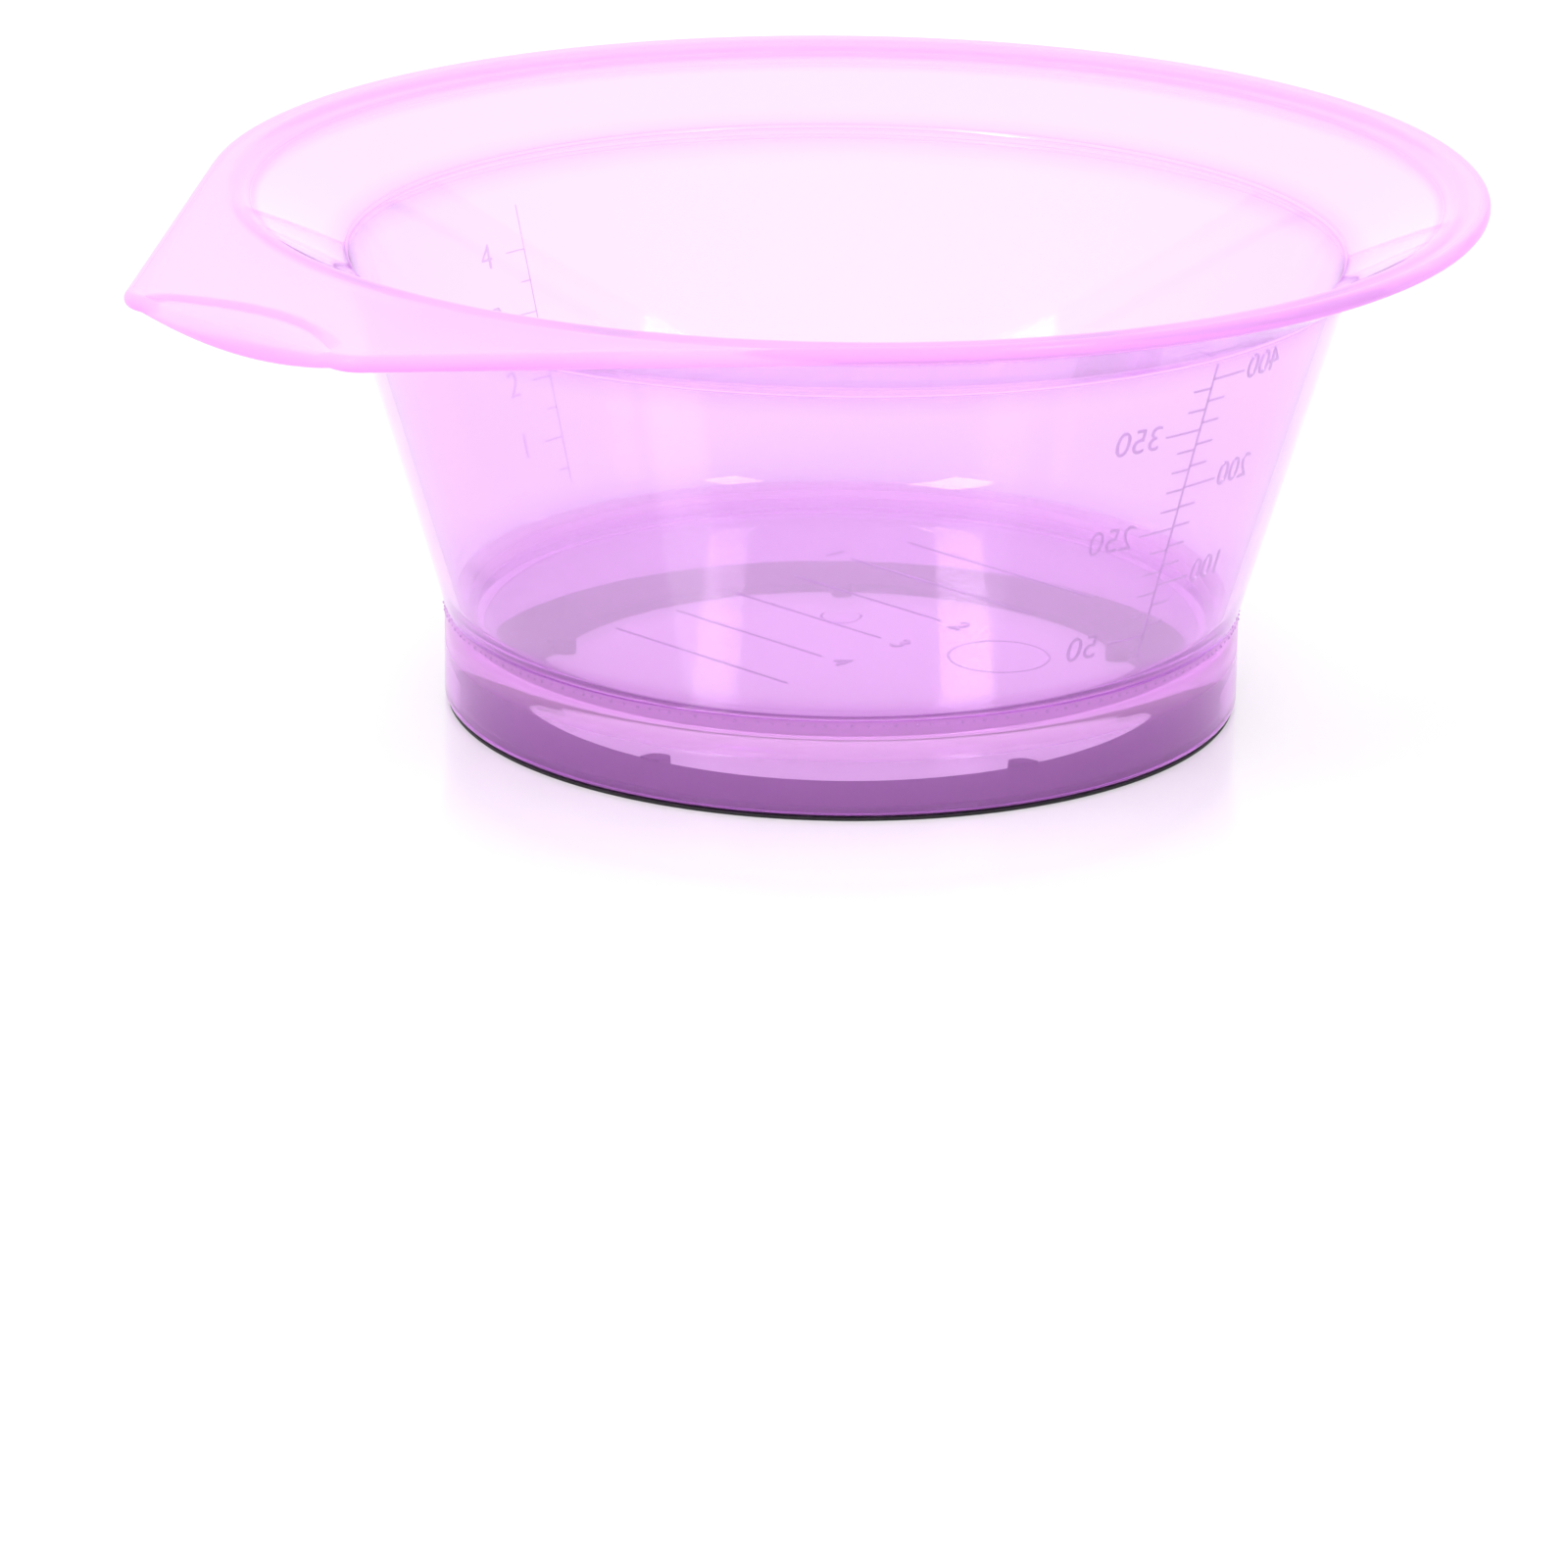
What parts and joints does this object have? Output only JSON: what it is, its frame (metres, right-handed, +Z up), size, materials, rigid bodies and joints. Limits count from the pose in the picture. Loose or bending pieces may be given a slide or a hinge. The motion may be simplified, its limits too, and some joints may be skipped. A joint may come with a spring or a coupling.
{
  "type": "hair colour mixing bowl",
  "caption": "Round translucent bowl with a sloping flange, a flat pointed handle with a grip lip, and a rubber non-slip ring in its foot, for mixing hair colour.",
  "frame": {"origin": "on the surface the bowl stands on, under the middle of the whole length, handle included", "axes": "+Z up, the handle points along -X"},
  "size_m": [0.1722, 0.152, 0.064],
  "materials": {
    "violet_plastic": "clear violet polypropylene, smooth and glossy, slightly milky",
    "black_rubber": "matt black rubber"
  },
  "bodies": {
    "root": {"bowl": "violet_plastic", "non_slip_ring": "black_rubber"}
  },
  "joints": []
}
